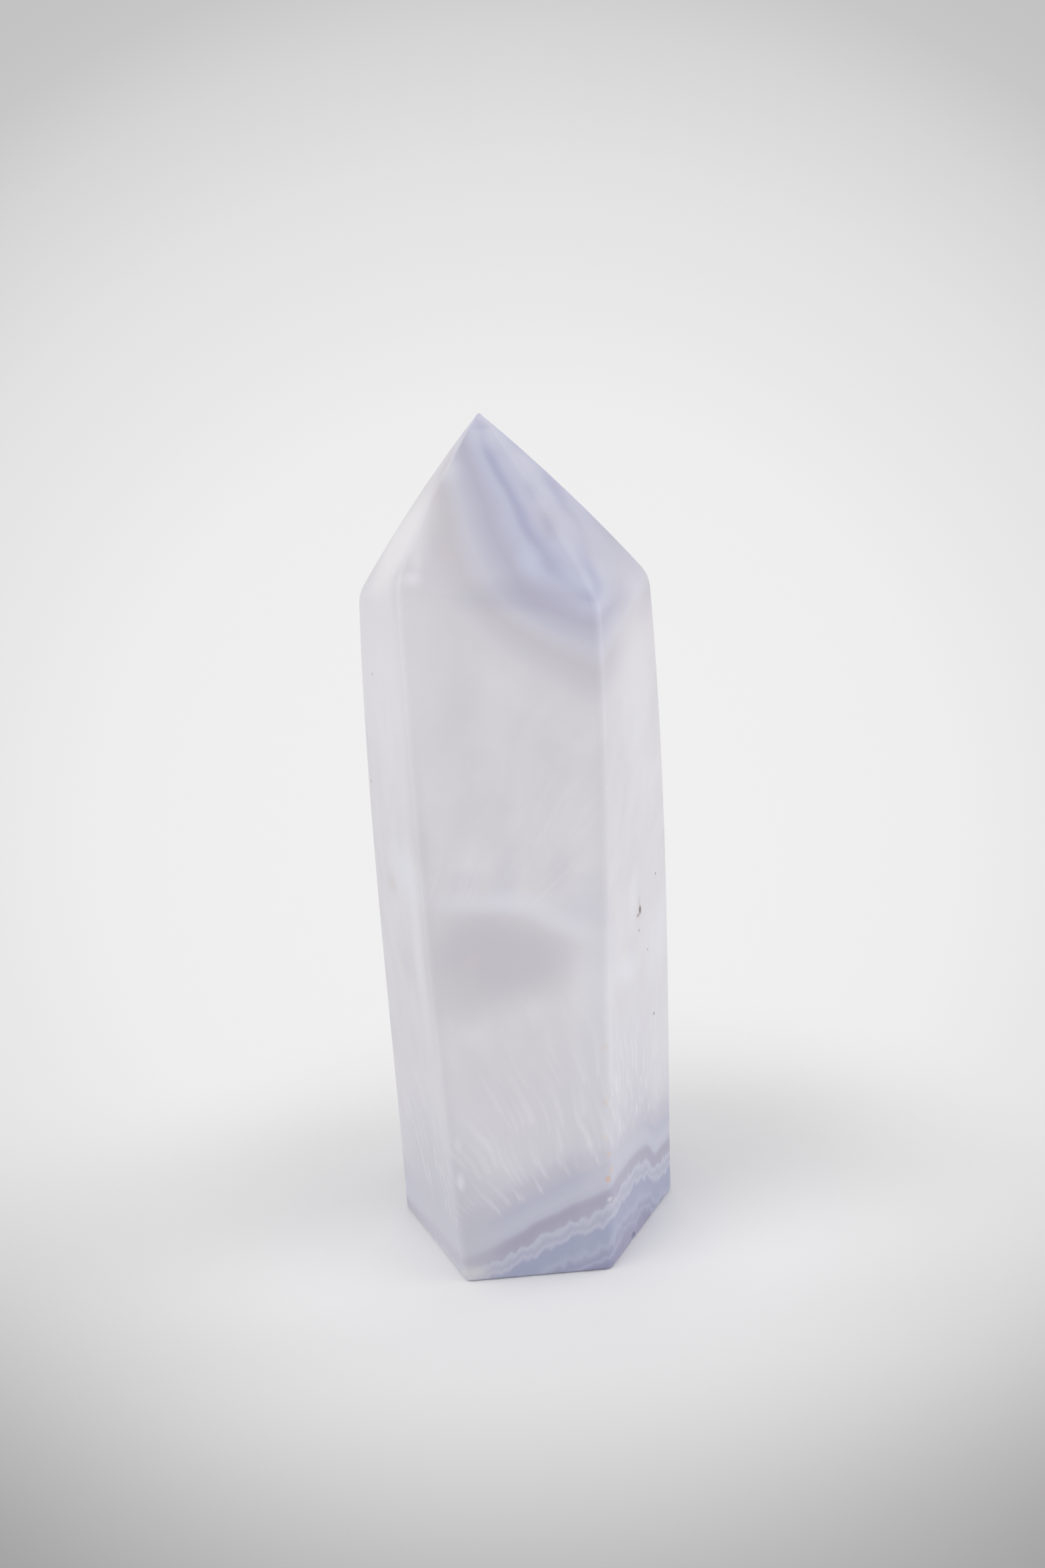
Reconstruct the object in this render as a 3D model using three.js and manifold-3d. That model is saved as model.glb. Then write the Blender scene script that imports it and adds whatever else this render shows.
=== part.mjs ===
// A blue lace agate tower: one stone, ground to a six-sided column and brought to a point by six facets.
// Millimetres, +Z up. It stands on its flat base, centred over the origin, and its front face looks along -Y.

import * as THREE from "three";
import { ConvexGeometry } from "three/addons/geometries/ConvexGeometry.js";
import { mergeVertices } from "three/addons/utils/BufferGeometryUtils.js";
import Module from "manifold-3d";

// Driving dimensions
const HEIGHT = 76; // base to tip
const TIP = [0.1, 0.1]; // where the tip stands over the base
const CROWN_SWELL = 0.35; // how far the six edges of the crown bow outwards
const FOOT_ROUND = 0.35; // the rim round the base, where the stone is left crisp
const TIP_ROUND = 0.25; // the tip, blunted by use

// The six long edges, in order round the stone from the front left one. foot and shoulder are the places
// where the faces would meet if they were sharp. Grinding by hand leaves each edge bowed: it swells outwards
// by swell, most at the share swellAt of its height. edgeRound is the radius that the polish leaves along
// the edge, and shoulderReach is how far the rounding of the shoulder runs up and down from its corner.
const EDGES = [
  {
    foot: [-7.8, -13.1],
    shoulder: [-7.7, -13.1, 63.0],
    swell: 0.85,
    swellAt: 0.42,
    edgeRound: 0.9,
    shoulderReach: 1.2,
  },
  {
    foot: [5.3, -13.1],
    shoulder: [8.55, -13.1, 59.9],
    swell: 0.6,
    swellAt: 0.75,
    edgeRound: 1.1,
    shoulderReach: 1.6,
  },
  {
    foot: [12.3, 1.0],
    shoulder: [14.2, 0.3, 60.6],
    swell: 0.6,
    swellAt: 0.6,
    edgeRound: 0.6,
    shoulderReach: 1.4,
  },
  {
    foot: [5.6, 12.5],
    shoulder: [7.5, 12.1, 60.9],
    swell: 0.6,
    swellAt: 0.5,
    edgeRound: 0.7,
    shoulderReach: 1.3,
  },
  {
    foot: [-7.4, 13.1],
    shoulder: [-6.2, 12.3, 62.1],
    swell: 0.6,
    swellAt: 0.55,
    edgeRound: 0.8,
    shoulderReach: 1.4,
  },
  {
    foot: [-14.1, 2.2],
    shoulder: [-12.2, 0.7, 61.1],
    swell: 0.45,
    swellAt: 0.65,
    edgeRound: 0.6,
    shoulderReach: 1.6,
  },
];

// One small chip out of the rim of the base, on the side between the second and the third edge
const CHIP_ALONG = 0.34; // its place, as a share of that side's length
const CHIP_RADIUS = 0.6;
const CHIP_DEPTH = 0.3;

// How finely the curves are stepped
const COLUMN_STEPS = 14;
const CROWN_STEPS = 7;
const CORNER_STEPS = 4;
const RIM_SIDES = 18; // of the small disc that rounds each edge

const HALF_CORNER = THREE.MathUtils.degToRad(60); // half the angle between two neighbouring faces
const UP = new THREE.Vector3(0, 0, 1);

const stone = new THREE.MeshStandardMaterial({
  name: "agate",
  color: 0xcdccd4,
  roughness: 0.16,
  metalness: 0,
});

// How far an edge has swelled at a share t of its length: nothing at both ends, all of it at peakAt.
function swellAt(t, peakAt) {
  const eased = Math.pow(t, Math.log(0.5) / Math.log(peakAt));
  return 4 * eased * (1 - eased);
}

// The direction away from the stone's axis at a point, level with the base.
function outwards(point) {
  return new THREE.Vector3(point.x, point.y, 0).normalize();
}

// The column's part of an edge, from the base up to the shoulder.
function columnPoint(edge, t) {
  const foot = new THREE.Vector3(edge.foot[0], edge.foot[1], 0);
  const point = foot.lerp(new THREE.Vector3(...edge.shoulder), t);
  return point.addScaledVector(
    outwards(point),
    edge.swell * swellAt(t, edge.swellAt),
  );
}

// The crown's part of an edge, from the shoulder up to the tip.
function crownPoint(edge, t) {
  const shoulder = new THREE.Vector3(...edge.shoulder);
  const tip = new THREE.Vector3(TIP[0], TIP[1], HEIGHT);
  const along = tip.clone().sub(shoulder).normalize();
  const across = outwards(shoulder);
  across.addScaledVector(along, -across.dot(along)).normalize();
  return shoulder
    .lerp(tip, t)
    .addScaledVector(across, CROWN_SWELL * swellAt(t, 0.5));
}

// The points of a rounded corner between two places on an edge that meet at the given corner.
function roundedCorner(from, corner, to) {
  return new THREE.QuadraticBezierCurve3(from, corner, to).getPoints(
    CORNER_STEPS,
  );
}

// The whole run of one edge, from the base to the tip, with the corners at its foot and shoulder rounded.
function edgeRun(edge) {
  const foot = columnPoint(edge, 0);
  const shoulder = new THREE.Vector3(...edge.shoulder);
  const tip = new THREE.Vector3(TIP[0], TIP[1], HEIGHT);
  const columnLength = foot.distanceTo(shoulder);
  const crownLength = shoulder.distanceTo(tip);
  const footEnd = FOOT_ROUND / columnLength;
  const columnEnd = 1 - edge.shoulderReach / columnLength;
  const crownStart = edge.shoulderReach / crownLength;

  const points = roundedCorner(
    foot.clone().addScaledVector(outwards(foot), -FOOT_ROUND),
    foot,
    columnPoint(edge, footEnd),
  );
  for (let i = 1; i < COLUMN_STEPS; i++) {
    const t = THREE.MathUtils.lerp(footEnd, columnEnd, i / COLUMN_STEPS);
    points.push(columnPoint(edge, t));
  }
  points.push(
    ...roundedCorner(
      columnPoint(edge, columnEnd),
      shoulder,
      crownPoint(edge, crownStart),
    ),
  );
  for (let i = 1; i < CROWN_STEPS; i++)
    points.push(
      crownPoint(
        edge,
        THREE.MathUtils.lerp(crownStart, 1, i / CROWN_STEPS),
      ),
    );
  return points;
}

// The rim of a level disc whose outer side touches both faces that meet at the corner.
function discRim(corner, radius) {
  const centre = corner
    .clone()
    .addScaledVector(outwards(corner), -radius / Math.sin(HALF_CORNER));
  const rim = [];
  for (let i = 0; i < RIM_SIDES; i++) {
    const arm = new THREE.Vector3(radius, 0, 0);
    rim.push(arm.applyAxisAngle(UP, (2 * Math.PI * i) / RIM_SIDES).add(centre));
  }
  return rim;
}

// The polished stone: the tightest skin round the discs that roll along its six edges, and round its blunt tip.
function stoneSkin() {
  const points = [];
  for (const edge of EDGES)
    for (const corner of edgeRun(edge)) {
      const crownShare = THREE.MathUtils.smoothstep(
        corner.z,
        edge.shoulder[2],
        HEIGHT,
      );
      const radius = THREE.MathUtils.lerp(
        edge.edgeRound,
        TIP_ROUND,
        crownShare,
      );
      points.push(...discRim(corner, radius));
    }
  const tip = new THREE.Vector3(TIP[0], TIP[1], HEIGHT);
  points.push(tip);
  for (const angle of [30, 60]) {
    const lift = THREE.MathUtils.degToRad(angle);
    const level = tip.clone();
    level.z -= TIP_ROUND * (1 - Math.sin(lift));
    for (let i = 0; i < RIM_SIDES; i++) {
      const arm = new THREE.Vector3(TIP_ROUND * Math.cos(lift), 0, 0);
      points.push(
        arm.applyAxisAngle(UP, (2 * Math.PI * i) / RIM_SIDES).add(level),
      );
    }
  }
  return new ConvexGeometry(points);
}

// The ball that a knock on the rim of the base took its chip from.
function chipBall() {
  const [, from, to] = EDGES;
  const place = new THREE.Vector2(...from.foot).lerp(
    new THREE.Vector2(...to.foot),
    CHIP_ALONG,
  );
  const side = new THREE.Vector2(
    to.foot[1] - from.foot[1],
    from.foot[0] - to.foot[0],
  ).normalize();
  place.addScaledVector(side, CHIP_RADIUS - CHIP_DEPTH);
  return new THREE.IcosahedronGeometry(CHIP_RADIUS, 1).translate(
    place.x,
    place.y,
    FOOT_ROUND,
  );
}

const wasm = await Module();
wasm.setup();

// A closed geometry as a solid that can be cut.
function solidOf(geometry) {
  const bare = new THREE.BufferGeometry();
  bare.setAttribute("position", geometry.getAttribute("position"));
  const merged = mergeVertices(
    geometry.index ? bare.setIndex(geometry.index) : bare,
  );
  return new wasm.Manifold(
    new wasm.Mesh({
      numProp: 3,
      vertProperties: merged.attributes.position.array,
      triVerts: new Uint32Array(merged.index.array),
    }),
  );
}

// A solid back as a geometry, standing centred over the origin.
function centredGeometry(solid) {
  const mesh = solid.getMesh();
  const geometry = new THREE.BufferGeometry();
  geometry.setAttribute(
    "position",
    new THREE.BufferAttribute(new Float32Array(mesh.vertProperties), 3),
  );
  geometry.setIndex(new THREE.BufferAttribute(new Uint32Array(mesh.triVerts), 1));
  geometry.computeBoundingBox();
  const { min, max } = geometry.boundingBox;
  geometry.translate(-(min.x + max.x) / 2, -(min.y + max.y) / 2, -min.z);
  geometry.computeVertexNormals();
  return geometry;
}

const tower = new THREE.Mesh(
  centredGeometry(solidOf(stoneSkin()).subtract(solidOf(chipBall()))),
  stone,
);
tower.name = "agate_tower";

const part = new THREE.Group();
part.add(tower);

export default part;
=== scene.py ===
# A blue lace agate tower: one stone with a polished six-sided column and crown, on a pale floor
# in soft studio light. The stone is shaped and patterned in millimetres; Blender works in metres.

import math

import bmesh
import bpy
from mathutils import Matrix, Vector


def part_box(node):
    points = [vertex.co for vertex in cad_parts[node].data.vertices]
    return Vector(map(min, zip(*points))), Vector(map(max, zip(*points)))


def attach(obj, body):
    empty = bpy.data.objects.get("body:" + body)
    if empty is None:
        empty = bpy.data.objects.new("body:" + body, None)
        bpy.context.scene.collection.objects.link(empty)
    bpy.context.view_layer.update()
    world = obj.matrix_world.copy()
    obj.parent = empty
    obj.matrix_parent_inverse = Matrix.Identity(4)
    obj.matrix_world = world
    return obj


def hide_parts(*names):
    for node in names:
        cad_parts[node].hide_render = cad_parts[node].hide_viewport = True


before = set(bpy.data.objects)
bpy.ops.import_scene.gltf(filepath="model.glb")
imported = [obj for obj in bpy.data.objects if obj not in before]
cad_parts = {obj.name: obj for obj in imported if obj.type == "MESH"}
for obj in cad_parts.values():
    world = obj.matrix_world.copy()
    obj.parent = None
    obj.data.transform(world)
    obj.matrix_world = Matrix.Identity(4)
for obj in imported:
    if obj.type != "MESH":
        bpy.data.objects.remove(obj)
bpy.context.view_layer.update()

MM = 0.001
NODE = "agate_tower"

# The stone's shape. foot and shoulder are the places where the faces would meet if they were sharp,
# swell is how far the edge bows outwards, most at the share swell_at of its height, round is the
# radius that the polish leaves along the edge, and reach is how far the shoulder's rounding runs.
EDGES = [
    dict(foot=(-7.8, -13.1), shoulder=(-7.7, -13.1, 63.0), swell=0.85, swell_at=0.42, round=0.9, reach=0.6),
    dict(foot=(5.3, -13.1), shoulder=(8.55, -13.1, 59.9), swell=0.6, swell_at=0.75, round=1.1, reach=0.8),
    dict(foot=(12.3, 1.0), shoulder=(14.2, 0.3, 60.6), swell=0.6, swell_at=0.6, round=0.6, reach=0.9),
    dict(foot=(5.6, 12.5), shoulder=(7.5, 12.1, 60.9), swell=0.6, swell_at=0.5, round=0.7, reach=0.9),
    dict(foot=(-7.4, 13.1), shoulder=(-6.2, 12.3, 62.1), swell=0.6, swell_at=0.55, round=0.8, reach=0.9),
    dict(foot=(-14.1, 2.2), shoulder=(-12.2, 0.7, 61.1), swell=0.45, swell_at=0.65, round=0.6, reach=0.9),
]

# The three faces that look towards the camera, each by the number of the edge that it starts at, and
# the angle in degrees that the faces turn by from one to the next
FRONT, RIGHT, LEFT = 0, 1, 5
FACE_TURN = 60

# The stone's other sizes: the height, where the tip stands over the base, how far the edges of the crown
# bow outwards, and how far the rounding reaches at the rim of the base and at the tip's end of the crown
HEIGHT = 76
TIP = (0.1, 0.1)
CROWN_SWELL = 0.35
FOOT_ROUND = 0.35
TIP_ROUND = 0.08

# The edges of the crown end on a small rim, TIP_FLAT from its middle and TIP_RISE under the top. The tip
# over it is blunt: how far it rises at each step, and how much of its width is left there
TIP_FLAT = 0.2
TIP_RISE = 0.07
TIP_STEPS = [(0.2, 0.6), (0.1, 0.52), (0.05, 0.36)]

# How finely the bowed edges and the roundings are stepped, and the angle in degrees under which two
# facets of a rounding are shaded as one
COLUMN_RINGS = 20
CROWN_RINGS = 7
ROUND_STEPS = 8
HOLLOW_STEPS = 4
SMOOTH_UNDER = 30

# A face is the flat top where its normal rises this far and it lies this near to the highest point
LEVEL = 0.9
NEAR = 0.01

# The chip out of the rim of the base, by its place as a share of that side, and the little pit in the
# right face, by its middle, its half sizes along the face, into it and upwards, and its lean in degrees
CHIP_ALONG = 0.34
CHIP_RADIUS = 0.6
CHIP_DEPTH = 0.3
PIT_PLACE = (10.42, -5.85, 31.05)
PIT_SIZE = (0.75, 0.25, 0.2)
PIT_TILT = 25


def face_foot(face):
    """The two ends of the foot of a face."""
    return Vector(EDGES[face]["foot"]), Vector(EDGES[(face + 1) % len(EDGES)]["foot"])


def face_place(face, along, height):
    """A place on one of the faces, by its distance along the foot of the face and its height."""
    start, end = face_foot(face)
    level = start + (end - start).normalized() * along
    return (*level, height)


def face_heading(face):
    """The angle by which a face is turned about the upright axis from one that looks along -Y."""
    start, end = face_foot(face)
    return math.atan2(end.y - start.y, end.x - start.x)


def outwards(place):
    """The level direction away from the stone's axis."""
    return Vector((place.x, place.y, 0)).normalized()


def swell_share(share, most_at):
    """How far an edge has swelled at a share of its length: nothing at its ends, all of it at most_at."""
    eased = share ** (math.log(0.5) / math.log(most_at))
    return 4 * eased * (1 - eased)


def column_place(edge, share):
    """A place on an edge of the column, from the base up to the shoulder."""
    place = Vector((*edge["foot"], 0)).lerp(Vector(edge["shoulder"]), share)
    return place + outwards(place) * edge["swell"] * swell_share(share, edge["swell_at"])


def tip_place(edge):
    """Where an edge of the crown ends, on the rim of the tip that use has blunted."""
    return Vector((*TIP, HEIGHT - TIP_RISE)) + outwards(Vector(edge["shoulder"])) * TIP_FLAT


def crown_place(edge, share):
    """A place on an edge of the crown, from the shoulder up to the tip. It bows most half way."""
    shoulder = Vector(edge["shoulder"])
    along = (tip_place(edge) - shoulder).normalized()
    across = outwards(shoulder)
    across = (across - along * across.dot(along)).normalized()
    return shoulder.lerp(tip_place(edge), share) + across * CROWN_SWELL * swell_share(share, 0.5)


def nearest_vertex(grid, place):
    """The vertex of a mesh in edit mode that stands nearest to a place."""
    return min(grid.verts, key=lambda vertex: (vertex.co - place).length)


def move_vertex(start, end):
    """Takes the vertex at start and moves it to end."""
    bpy.ops.mesh.select_all(action="DESELECT")
    grid = bmesh.from_edit_mesh(bpy.context.object.data)
    vertex = nearest_vertex(grid, start)
    vertex.select_set(True)
    way = end - vertex.co
    bmesh.update_edit_mesh(bpy.context.object.data)
    bpy.ops.transform.translate(value=way)


def select_edges(ends):
    """Selects only the edges that join the given pairs of places."""
    bpy.ops.mesh.select_all(action="DESELECT")
    grid = bmesh.from_edit_mesh(bpy.context.object.data)
    for start, end in ends:
        first = nearest_vertex(grid, start)
        last = nearest_vertex(grid, end)
        for edge in first.link_edges:
            if edge.other_vert(first) == last:
                edge.select_set(True)
    bmesh.update_edit_mesh(bpy.context.object.data)


def select_top():
    """Selects only the flat face at the top of what has been built so far."""
    bpy.ops.mesh.select_mode(type="FACE")
    bpy.ops.mesh.select_all(action="DESELECT")
    grid = bmesh.from_edit_mesh(bpy.context.object.data)
    top = max(vertex.co.z for vertex in grid.verts)
    for face in grid.faces:
        if face.normal.z > LEVEL and face.calc_center_median().z > top - NEAR:
            face.select_set(True)
    bmesh.update_edit_mesh(bpy.context.object.data)


def shares(rings):
    """The shares of an edge's length at which its rings and its two ends stand."""
    return [step / (rings + 1) for step in range(rings + 2)]


def crease_list():
    """Every crease of the stone, as its two ends and how far its rounding reaches on both sides."""
    creases = []
    half_corner = math.tan(math.radians(FACE_TURN / 2))
    for edge, next_edge in zip(EDGES, EDGES[1:] + EDGES[:1]):
        foot, shoulder = column_place(edge, 0), Vector(edge["shoulder"])
        creases.append((foot, column_place(next_edge, 0), FOOT_ROUND))
        creases.append((shoulder, Vector(next_edge["shoulder"]), (edge["reach"] + next_edge["reach"]) / 2))
        column = [column_place(edge, share) for share in shares(COLUMN_RINGS)]
        creases += [(start, end, edge["round"] * half_corner) for start, end in zip(column, column[1:])]
        crown = [crown_place(edge, share) for share in shares(CROWN_RINGS)]
        for step, (start, end) in enumerate(zip(crown, crown[1:])):
            faded = 1 - (step + 1) / (CROWN_RINGS + 1)
            creases.append((start, end, TIP_ROUND + (edge["round"] * half_corner - TIP_ROUND) * faded))
    return creases


def finish_with(kind, **settings):
    """Gives the active object one modifier with its settings, and applies it."""
    bpy.ops.object.modifier_add(type=kind)
    modifier = bpy.context.object.modifiers[-1]
    for name, value in settings.items():
        setattr(modifier, name, value)
    bpy.ops.object.modifier_apply(modifier=modifier.name)


def carve(stone, radius, place, scale=(1, 1, 1), turn=(0, 0, 0)):
    """Takes a rounded hollow out of the stone."""
    bpy.ops.object.select_all(action="DESELECT")
    bpy.ops.mesh.primitive_ico_sphere_add(
        subdivisions=HOLLOW_STEPS,
        radius=radius,
        location=place,
        rotation=turn,
    )
    hollow = bpy.context.object
    hollow.scale = scale
    bpy.ops.object.transform_apply(location=True, rotation=True, scale=True)
    bpy.ops.object.select_all(action="DESELECT")
    bpy.context.view_layer.objects.active = stone
    stone.select_set(True)
    finish_with("BOOLEAN", object=hollow, operation="DIFFERENCE", solver="EXACT")
    bpy.ops.object.select_all(action="DESELECT")
    hollow.select_set(True)
    bpy.ops.object.delete()
    bpy.context.view_layer.objects.active = stone
    stone.select_set(True)


def build_stone():
    """The stone: a six-sided bar, drawn up to a point, its edges bowed and rounded by the polish."""
    lowest_shoulder = min(edge["shoulder"][2] for edge in EDGES)
    widest = max(Vector(edge["shoulder"][:2]).length for edge in EDGES)
    bpy.ops.object.select_all(action="DESELECT")
    bpy.ops.mesh.primitive_cylinder_add(
        vertices=len(EDGES),
        radius=widest,
        depth=lowest_shoulder,
        location=(0, 0, lowest_shoulder / 2),
        rotation=(0, 0, math.radians(FACE_TURN / 2)),
    )
    stone = bpy.context.object
    stone.name = "polished_stone"
    bpy.ops.object.transform_apply(location=True, rotation=True, scale=True)

    bpy.ops.object.mode_set(mode="EDIT")
    select_top()
    rise = HEIGHT - TIP_RISE - lowest_shoulder
    bpy.ops.mesh.extrude_region_move(TRANSFORM_OT_translate={"value": (*TIP, rise)})
    bpy.ops.transform.resize(value=(TIP_FLAT / widest, TIP_FLAT / widest, 1))

    bpy.ops.mesh.select_mode(type="VERT")
    for edge in EDGES:
        rough = outwards(Vector((*edge["foot"], 0))) * widest
        move_vertex(rough, column_place(edge, 0))
        move_vertex(rough + Vector((0, 0, lowest_shoulder)), Vector(edge["shoulder"]))
        move_vertex(rough * TIP_FLAT / widest + Vector((*TIP, HEIGHT - TIP_RISE)), tip_place(edge))

    bpy.ops.mesh.select_mode(type="EDGE")
    select_edges([(column_place(edge, 0), Vector(edge["shoulder"])) for edge in EDGES])
    bpy.ops.mesh.subdivide(number_cuts=COLUMN_RINGS)
    select_edges([(Vector(edge["shoulder"]), tip_place(edge)) for edge in EDGES])
    bpy.ops.mesh.subdivide(number_cuts=CROWN_RINGS)

    bpy.ops.mesh.select_mode(type="VERT")
    for edge in EDGES:
        foot, shoulder, tip = column_place(edge, 0), Vector(edge["shoulder"]), tip_place(edge)
        for share in shares(COLUMN_RINGS)[1:-1]:
            move_vertex(foot.lerp(shoulder, share), column_place(edge, share))
        for share in shares(CROWN_RINGS)[1:-1]:
            move_vertex(shoulder.lerp(tip, share), crown_place(edge, share))

    bpy.ops.mesh.select_mode(type="EDGE")
    creases = crease_list()
    furthest = max(reach for start, end, reach in creases)
    for start, end, reach in creases:
        select_edges([(start, end)])
        bpy.ops.transform.edge_bevelweight(value=reach / furthest)
    bpy.ops.object.mode_set(mode="OBJECT")
    finish_with(
        "BEVEL",
        width=furthest,
        limit_method="WEIGHT",
        segments=ROUND_STEPS,
        use_clamp_overlap=False,
    )

    bpy.ops.object.mode_set(mode="EDIT")
    bpy.ops.mesh.select_all(action="SELECT")
    blunted = sum(lift for lift, width in TIP_STEPS)
    bpy.ops.mesh.bisect(
        plane_co=(0, 0, HEIGHT - blunted),
        plane_no=(0, 0, 1),
        use_fill=True,
        clear_outer=True,
    )
    bpy.ops.mesh.select_all(action="SELECT")
    bpy.ops.mesh.normals_make_consistent(inside=False)
    select_top()
    for lift, width in TIP_STEPS:
        bpy.ops.mesh.extrude_region_move(TRANSFORM_OT_translate={"value": (0, 0, lift)})
        bpy.ops.transform.resize(value=(width, width, 1))
    bpy.ops.object.mode_set(mode="OBJECT")

    start = Vector((*EDGES[RIGHT]["foot"], FOOT_ROUND))
    end = Vector((*EDGES[RIGHT + 1]["foot"], FOOT_ROUND))
    side = (end - start).cross(Vector((0, 0, 1))).normalized()
    carve(stone, CHIP_RADIUS, start.lerp(end, CHIP_ALONG) + side * (CHIP_RADIUS - CHIP_DEPTH))
    turn = (0, math.radians(PIT_TILT), face_heading(RIGHT))
    carve(stone, 1, PIT_PLACE, scale=PIT_SIZE, turn=turn)
    fit_to_frame(stone)
    return stone


def fit_to_frame(stone):
    """Brings the stone from millimetres to metres, into the box of the solid that it stands for."""
    lowest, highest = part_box(NODE)
    stone.scale = [side / size for side, size in zip(highest - lowest, stone.dimensions)]
    bpy.ops.object.transform_apply(location=False, rotation=False, scale=True)
    corners = [Vector(corner) for corner in stone.bound_box]
    own_lowest = Vector([min(corner[axis] for corner in corners) for axis in range(3)])
    stone.location = lowest - own_lowest
    bpy.ops.object.transform_apply(location=True, rotation=False, scale=False)


def linear(tone):
    """A tone written as an sRGB hex value, as the linear colour that a shader takes."""
    parts = [int(tone[start : start + 2], 16) / 255 for start in (1, 3, 5)]
    return (*[p / 12.92 if p <= 0.04045 else ((p + 0.055) / 1.055) ** 2.4 for p in parts], 1)


def add_node(tree, kind, inputs=(), stops=(), **settings):
    """Adds one node with its settings. An input takes a value or another node's output, and a ramp
    takes its stops as (place, tone, strength). An input without a name of its own goes by its number:
    in MapRange 0 is the value and 1 to 4 are the ends of its two ranges, and in Mix 0 is the share,
    2 and 3 are the numbers, and 6 and 7 the colours that it mixes."""
    node = tree.nodes.new("ShaderNode" + kind)
    for name, value in settings.items():
        setattr(node, name, value)
    for name, value in dict(inputs).items():
        if isinstance(value, bpy.types.Node):
            value = value.outputs[0]
        if isinstance(value, bpy.types.NodeSocket):
            tree.links.new(value, node.inputs[name])
        else:
            node.inputs[name].default_value = value
    ends_first = [*stops[:1], *stops[-1:], *stops[1:-1]]
    for number, (place, tone, strength) in enumerate(ends_first):
        points = node.color_ramp.elements
        point = points[number] if number < 2 else points.new(place)
        point.position = place
        point.color = (*linear(tone)[:3], strength)
    return node


def add_bands(tree, depth, stops, under):
    """Lays bands over the colour under. A stop is the depth in mm where a tone stands, the tone and
    how much of what is under it hides there; the first and the last are the ends of the banding."""
    shallow, deep = stops[0][0], stops[-1][0]
    along = add_node(tree, "MapRange", {0: depth, 1: shallow, 2: deep})
    spread = [((place - shallow) / (deep - shallow), tone, share) for place, tone, share in stops]
    ramp = add_node(tree, "ValToRGB", {0: along}, stops=spread)
    mixed = add_node(tree, "Mix", {0: ramp.outputs[1], 6: under, 7: ramp}, data_type="RGBA")
    return mixed.outputs[2]


# A noise swings about its middle, and most of it stays within its reach of that
NOISE_MIDDLE = 0.5
NOISE_REACH = 0.25


def add_wave(tree, place, width, upright, height):
    """A wandering offset in mm: width is how far apart its swings are, upright how fast they come
    upwards against sideways, and height how far they reach."""
    drawn = add_node(tree, "VectorMath", {0: place, 1: (1, 1, upright)}, operation="MULTIPLY")
    noise = add_node(tree, "TexNoise", {"Vector": drawn, "Scale": 1 / width, "Detail": 1})
    gain = height / NOISE_REACH
    swing = {0: noise, 1: gain, 2: -gain * NOISE_MIDDLE}
    return add_node(tree, "Math", swing, operation="MULTIPLY_ADD")


def add_window(tree, value, opens, full, fades, closes):
    """A share that is 0 up to opens, 1 from full to fades, and 0 again from closes on."""
    rise = add_node(tree, "MapRange", {0: value, 1: opens, 2: full}, interpolation_type="SMOOTHSTEP")
    fall = add_node(tree, "MapRange", {0: value, 1: closes, 2: fades}, interpolation_type="SMOOTHSTEP")
    return add_node(tree, "Math", {0: rise, 1: fall}, operation="MULTIPLY")


def add_blot(tree, place, centre, size, turn=(0, 0, 0), soft=0.8, strength=1):
    """The share of a soft blot in the stone, an ellipsoid of a half size in mm: its strength inside and
    0 outside, with a border that is soft by that share of its size."""
    reach = [side * (1 + soft) for side in size]
    local = add_node(
        tree,
        "Mapping",
        {"Vector": place, "Location": centre, "Rotation": turn, "Scale": reach},
        vector_type="TEXTURE",
    )
    inside = add_node(tree, "TexGradient", {0: local}, gradient_type="SPHERICAL").outputs["Fac"]
    # The gradient falls from 1 in the middle to 0 at reach, and has this value where the border begins
    full = 2 * soft / (1 + soft)
    return add_node(
        tree,
        "MapRange",
        {0: inside, 1: 0, 2: full, 3: 0, 4: strength},
        interpolation_type="SMOOTHSTEP",
    )


def lay_blot(tree, under, tone, place, centre, size, **form):
    """Lays a soft blot of one tone over the colour under."""
    share = add_blot(tree, place, centre, size, **form)
    return add_node(tree, "Mix", {0: share, 6: under, 7: linear(tone)}, data_type="RGBA").outputs[2]


def add_rays(tree, place, root):
    """The rays that fan out upwards from a root: where each would meet a level 1 mm over the root,
    and how high over the root the place is."""
    ray = add_node(tree, "VectorMath", {0: place, 1: root}, operation="SUBTRACT")
    rise = add_node(tree, "SeparateXYZ", {0: ray}).outputs["Z"]
    level = add_node(tree, "CombineXYZ", {0: rise, 1: rise, 2: 1})
    return add_node(tree, "VectorMath", {0: ray, 1: level}, operation="DIVIDE")


def add_streaks(tree, rays, across, along):
    """Soft streaks along rays: across is how many fit in a radian, along their length in mm."""
    drawn = add_node(tree, "VectorMath", {0: rays, 1: (across, across, 1 / along)}, operation="MULTIPLY")
    return add_node(tree, "TexNoise", {"Vector": drawn, "Scale": 1, "Detail": 3, "Roughness": 0.5})


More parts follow.
